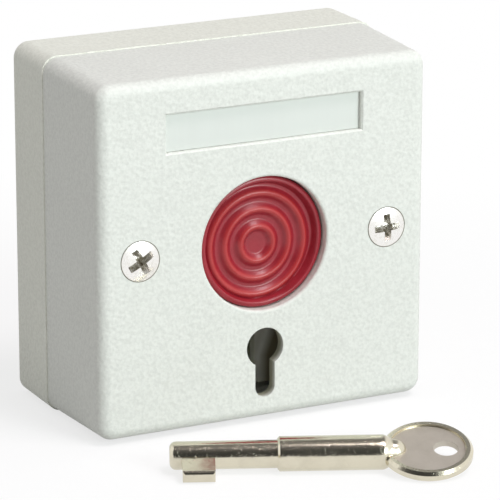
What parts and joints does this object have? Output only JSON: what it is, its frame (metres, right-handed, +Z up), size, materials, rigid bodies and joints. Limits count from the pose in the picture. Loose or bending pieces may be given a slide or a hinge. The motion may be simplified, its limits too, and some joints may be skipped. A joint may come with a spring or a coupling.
{
  "type": "panic button",
  "caption": "Square surface-mounted alarm call point with a red latching push button, a write-in label, a keyhole and the loose reset key.",
  "frame": {"origin": "middle of the back face, halfway between the two wall screw slots", "axes": "+Y into the wall, +X to the right seen from the front, +Z up; the button faces -Y"},
  "size_m": [0.0644, 0.0748, 0.0644],
  "materials": {
    "housing_plastic": "moulded, fine spark-eroded grain",
    "label_film": "smooth, satin",
    "red_plastic": "moulded, semi-gloss",
    "guide_plastic": "natural acetal",
    "latch_plastic": "moulded, dull",
    "frame_plastic": "moulded, dull",
    "base_plastic": "moulded, glass-filled",
    "spring_wire": "drawn wire",
    "strip_brass": "rolled strip",
    "insert_brass": "turned",
    "tip_silver": "coined",
    "nickel_screw": "bright nickel plate",
    "zinc_screw": "zinc plate",
    "key_nickel": "nickel-plated casting"
  },
  "bodies": {
    "housing": {"front_cover": "housing_plastic", "rear_box": "housing_plastic", "label_plate": "label_film", "cover_screws": "nickel_screw", "screw_inserts": "insert_brass", "button_spring": "spring_wire", "latch_spring": "spring_wire", "mechanism_frame": "frame_plastic", "frame_screws": "zinc_screw", "contact_base": "base_plastic", "base_screws": "zinc_screw", "closed_contact_left": "strip_brass", "closed_contact_right": "strip_brass", "open_contact_left": "strip_brass", "open_contact_right": "strip_brass", "fixed_tips": "tip_silver", "wire_clamps": "zinc_screw", "terminal_screws": "zinc_screw", "reset_key": "key_nickel"},
    "button": {"push_button": "red_plastic", "plunger": "guide_plastic", "contact_bridge": "strip_brass", "bridge_tips": "tip_silver", "bridge_spring": "spring_wire", "bridge_clip": "spring_wire"},
    "latch": {"latch_slide": "latch_plastic"}
  },
  "joints": [
    {"name": "button_press", "type": "slide", "parent": "housing", "child": "button", "axis": [0, 1, 0], "range_m": [0, 0.004], "stiffness_N_per_m": 500, "springref_m": -0.006, "deforming": ["button_spring"]},
    {"name": "latch_lift", "type": "slide", "parent": "housing", "child": "latch", "axis": [0, 0, 1], "range_m": [0, 0.0025], "stiffness_N_per_m": 300, "springref_m": -0.003, "deforming": ["latch_spring"]}
  ]
}
